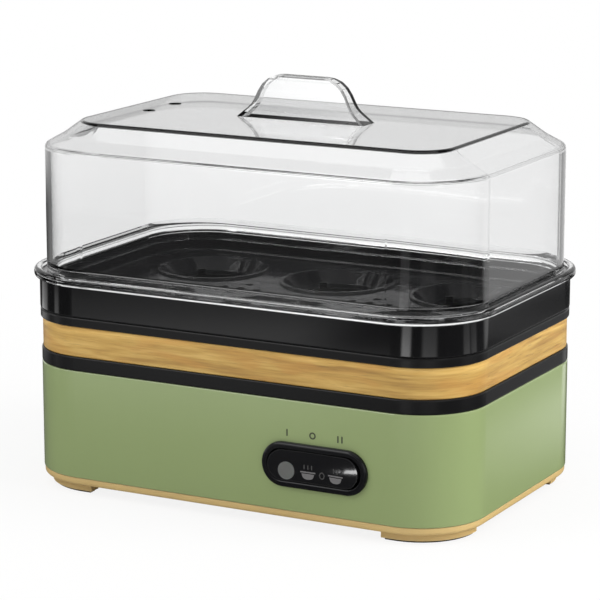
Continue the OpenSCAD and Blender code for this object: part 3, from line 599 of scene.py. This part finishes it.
cast_aluminium = metal(
    "cast_aluminium", colour=(0.66, 0.66, 0.67), roughness=0.5, streak=0.1, streak_scale=700.0,
)
dress(cast_aluminium, "heater_plate")
tinted_tube = metal(
    "tinted_tube", colour=(0.3, 0.27, 0.25), roughness=0.45, streak=0.2, streak_scale=900.0,
)
dress(tinted_tube, "heating_element")
phenolic = plastic(
    "brown_phenolic", colour=(0.03, 0.022, 0.018), roughness=0.5, relief=0.00005,
    skin={"Unevenness": 0.4},
)
dress(phenolic, "thermostat", "switch_body")
glass_sleeve = plastic(
    "glass_sleeve", colour=(0.75, 0.73, 0.68), roughness=0.85, relief=0.00015,
    skin={"Grain scale": 700.0},
)
dress(glass_sleeve, "thermal_fuse")


# ---- Terminal block and wires ----
# A nylon block joins the cord to silicone-covered wires that run to the switch and the heater.
# All of it lies on the floor of the base, out of sight.

natural_nylon = plastic(
    "natural_nylon", colour=(0.78, 0.74, 0.62), roughness=0.5, relief=0.00003,
    skin={"Unevenness": 0.15},
)
dress(natural_nylon, "terminal_block")
wire_silicone = plastic(
    "wire_silicone", colour=(0.42, 0.05, 0.035), roughness=0.55, relief=0.00003,
    skin={"Unevenness": 0.25},
)
dress(wire_silicone, "wiring")


# ---- Switch ----
# A long black bezel snapped into the shell, polished all over, round a rocker with a hollow face.
# Brass blades and a small neon lamp sit behind it.

gloss_black = plastic(
    "gloss_black", colour=(0.007, 0.007, 0.008), roughness=0.16, relief=0.000008,
    skin={"Unevenness": 0.3, "Roughness spread": 0.05, "Grain scale": 500.0, "Edge wear": 0.03},
    Specular_IOR_Level=0.3,
)
dress(gloss_black, "switch_bezel")
rocker_black = plastic(
    "rocker_black", colour=(0.008, 0.008, 0.009), roughness=0.05, relief=0.000004,
    skin={"Unevenness": 0.3, "Roughness spread": 0.03, "Grain scale": 500.0, "Edge wear": 0.03},
    Specular_IOR_Level=0.5,
)
dress(rocker_black, "rocker")
brass = metal("brass", colour=(0.76, 0.55, 0.24), roughness=0.3, streak=0.15, streak_scale=2200.0)
dress(brass, "switch_terminals")
neon_glass = plastic(
    "neon_glass", colour=(0.85, 0.42, 0.16), roughness=0.1, relief=0.00001, skin={"Unevenness": 0.1},
    Transmission_Weight=0.6,
)
dress(neon_glass, "neon_lamp")
frosted_lens = plastic(
    "frosted_lens", colour=(0.13, 0.13, 0.125), roughness=0.34, relief=0.00003,
    skin={"Unevenness": 0.25, "Patch size": 400.0, "Grain scale": 2600.0},
    Subsurface_Weight=0.1,
)
dress(frosted_lens, "lamp_lens")


# ---- Marks on and above the switch ----
# Thin pad-printed marks: I, O and II on the shell, and plain pots and a ring on the rocker.
# Each is a skin of ink a twentieth of a millimetre thick.

MM = 0.001
ink_thickness = 0.05 * MM
ink_relief = 0.01 * MM
ink_grain = 3000.0
shell_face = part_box("outer_shell")[0][1]
bezel_low, bezel_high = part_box("switch_bezel")
switch_middle_x = (bezel_low[0] + bezel_high[0]) / 2
switch_middle_z = (bezel_low[2] + bezel_high[2]) / 2


def ink(name, colour, roughness, unevenness):
    return plastic(
        name, colour=colour, roughness=roughness, relief=ink_relief,
        skin={"Unevenness": unevenness, "Grain scale": ink_grain},
    )


def ink_piece(name, outlines, surface, material, body):
    """Flat outlines in X and Z, laid on a face whose Y at each X is surface(x), as one thin solid."""
    mesh = bmesh.new()

    def laid(outline):
        return [mesh.verts.new((x, surface(x) - ink_thickness, z)) for x, z in outline]

    for outer, inner in outlines:
        rim = laid(outer)
        if inner is None:
            mesh.faces.new(rim)
            continue
        hole = laid(inner)
        for index, corner in enumerate(rim):
            following = (index + 1) % len(rim)
            mesh.faces.new((corner, rim[following], hole[following], hole[index]))
    bmesh.ops.recalc_face_normals(mesh, faces=mesh.faces[:])
    front = mesh.faces[:]
    if front[0].normal.y > 0:
        bmesh.ops.reverse_faces(mesh, faces=front)
    grown = bmesh.ops.extrude_face_region(mesh, geom=front)
    moved = [item for item in grown["geom"] if isinstance(item, bmesh.types.BMVert)]
    bmesh.ops.translate(mesh, verts=moved, vec=(0.0, ink_thickness, 0.0))
    bmesh.ops.recalc_face_normals(mesh, faces=mesh.faces[:])
    data = bpy.data.meshes.new(name)
    mesh.to_mesh(data)
    mesh.free()
    data.materials.append(material)
    piece = bpy.data.objects.new(name, data)
    bpy.context.collection.objects.link(piece)
    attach(piece, body)
    return piece


def ellipse(x, z, half_width, half_height, count=32):
    steps = [2 * math.pi * index / count for index in range(count)]
    return [(x + half_width * math.cos(a), z + half_height * math.sin(a)) for a in steps]


def bar(x, z, width, height, count=8):
    """An upright bar with rounded ends."""
    radius = width / 2
    reach = height / 2 - radius
    turn = [math.pi * index / count for index in range(count + 1)]
    top = [(x + radius * math.cos(a), z + reach + radius * math.sin(a)) for a in turn]
    bottom = [(x - radius * math.cos(a), z - reach - radius * math.sin(a)) for a in turn]
    return top + bottom


# On the shell, above the switch
shell_ink = ink("shell_ink", colour=(0.035, 0.045, 0.02), roughness=0.5, unevenness=0.4)
label_z = 35.3 * MM
label_height = 2.6 * MM
stroke = 0.55 * MM
label_on_x = 24.4 * MM
label_off_x = 34.6 * MM
label_warm_x = 45.5 * MM
half_pair = 0.8 * MM


def on_shell(x):
    return shell_face


def upright(x):
    return bar(x, label_z, stroke, label_height), None


def round_mark(x):
    outer = label_height / 2
    inner = outer - stroke
    return ellipse(x, label_z, outer, outer), ellipse(x, label_z, inner, inner)


ink_piece("mark_on", [upright(label_on_x)], on_shell, shell_ink, "base")
ink_piece("mark_off", [round_mark(label_off_x)], on_shell, shell_ink, "base")
ink_piece("mark_warm", [upright(label_warm_x - half_pair), upright(label_warm_x + half_pair)],
          on_shell, shell_ink, "base")

# On the rocker, in one row
rocker_ink = ink("rocker_ink", colour=(0.15, 0.145, 0.15), roughness=0.45, unevenness=0.3)
faint_ink = ink("faint_ink", colour=(0.045, 0.043, 0.045), roughness=0.45, unevenness=0.3)
face_radius = 140.0 * MM
face_middle = shell_face - 1.2 * MM
row_z = switch_middle_z - 2.2 * MM
cook_x = switch_middle_x - 2.2 * MM
ring_x = switch_middle_x + 3.4 * MM
warm_x = switch_middle_x + 8.9 * MM
pot_half = 2.5 * MM
pot_depth = 2.1 * MM
pot_taper = 0.92
pot_fullness = 0.6
rim_half = pot_half + 0.5 * MM
rim_low = 0.35 * MM
rim_high = 0.8 * MM
steam_up = 2.4 * MM
steam_width = 0.4 * MM
steam_height = 1.7 * MM


def on_rocker(x):
    """The hollow face of the rocker: it stands further out towards the ends."""
    aside = x - switch_middle_x
    return face_middle - (face_radius - math.sqrt(face_radius ** 2 - aside ** 2))


def pot(x, count=13):
    """A pan with a flat rim."""
    bowl = [(x - pot_half, row_z)]
    for index in range(1, count):
        a = math.pi * index / count
        below = pot_depth * math.sin(a) ** pot_fullness
        bowl.append((x - pot_half * pot_taper * math.cos(a), row_z - below))
    bowl.append((x + pot_half, row_z))
    rim = [(x + side * rim_half, row_z + up)
           for side, up in ((-1, rim_low), (-1, rim_high), (1, rim_high), (1, rim_low))]
    return [(bowl, None), (rim, None)]


def steam(x, *offsets):
    """Straight strokes of steam over a pan."""
    return [(bar(x + offset * MM, row_z + steam_up, steam_width, steam_height), None) for offset in offsets]


ink_piece("rocker_pot_cook", pot(cook_x), on_rocker, rocker_ink, "rocker")
ink_piece("rocker_steam_cook", steam(cook_x, -1.5, 0.0, 1.5), on_rocker, faint_ink, "rocker")
ink_piece("rocker_ring", [(
    ellipse(ring_x, row_z, 1.1 * MM, 1.3 * MM), ellipse(ring_x, row_z, 0.7 * MM, 0.9 * MM),
)], on_rocker, faint_ink, "rocker")
ink_piece("rocker_pot_warm", pot(warm_x), on_rocker, rocker_ink, "rocker")
ink_piece("rocker_steam_warm", steam(warm_x, -0.8, 0.8), on_rocker, faint_ink, "rocker")


# ---- Egg tray ----
# One black moulding with a mirror-polished skirt and six cups, each with four steam notches.
# The polish shows faint flow marks and fine wipe haze, and the level faces are duller.

skirt_coat = 0.62
floor_coat = 0.06

tray_black = plastic(
    "tray_black", colour=(0.006, 0.006, 0.0065), roughness=0.1, relief=0.000006,
    skin={"Unevenness": 0.3, "Roughness spread": 0.05, "Grain scale": 260.0, "Edge wear": 0.04},
    Specular_IOR_Level=0.04, Coat_Roughness=0.09,
)
tray_tree = tray_black.node_tree
facing = new_node(tray_tree, "ShaderNodeSeparateXYZ")
link(tray_tree, new_node(tray_tree, "ShaderNodeNewGeometry").outputs["Normal"], facing.inputs[0])
coat = ramp(tray_tree, facing.outputs["Z"], start=0.3, end=0.9, low=skirt_coat, high=floor_coat)
link(tray_tree, coat, tray_tree.nodes["Principled BSDF"].inputs["Coat Weight"])
dress(tray_black, "egg_tray")


# ---- Lid ----
# One clear polycarbonate moulding: flange, upright walls, stepped roof and hollow fin handle.
# Polished inside and out, with the faintest haze; light passes through it to the tray.

haze_scale = 60.0
haze_depth = 0.03

clear_polycarbonate, lid_tree, lid_shader = new_material("clear_polycarbonate")
set_shader(
    lid_shader,
    Base_Color=(0.985, 0.987, 0.988, 1.0), Transmission_Weight=1.0, IOR=1.5, Metallic=0.0,
)
lid_place = new_node(lid_tree, "ShaderNodeTexCoord").outputs["Object"]
haze = noise(lid_tree, lid_place, haze_scale, Detail=3.0)
link(lid_tree, maths(lid_tree, "MULTIPLY", haze, haze_depth), lid_shader.inputs["Roughness"])

# Lamps and the light of the room reach through it without bending, so that the tray is lit
unbent = new_node(lid_tree, "ShaderNodeBsdfTransparent", Color=(0.93, 0.935, 0.94, 1.0))
lid_rays = new_node(lid_tree, "ShaderNodeLightPath").outputs
lighting = maths(lid_tree, "MAXIMUM", lid_rays["Is Shadow Ray"], lid_rays["Is Diffuse Ray"])
passing = seen_by(lid_tree, lighting, unbent, lid_shader)
link(lid_tree, passing.outputs[0], lid_tree.nodes["Material Output"].inputs["Surface"])
dress(clear_polycarbonate, "lid")
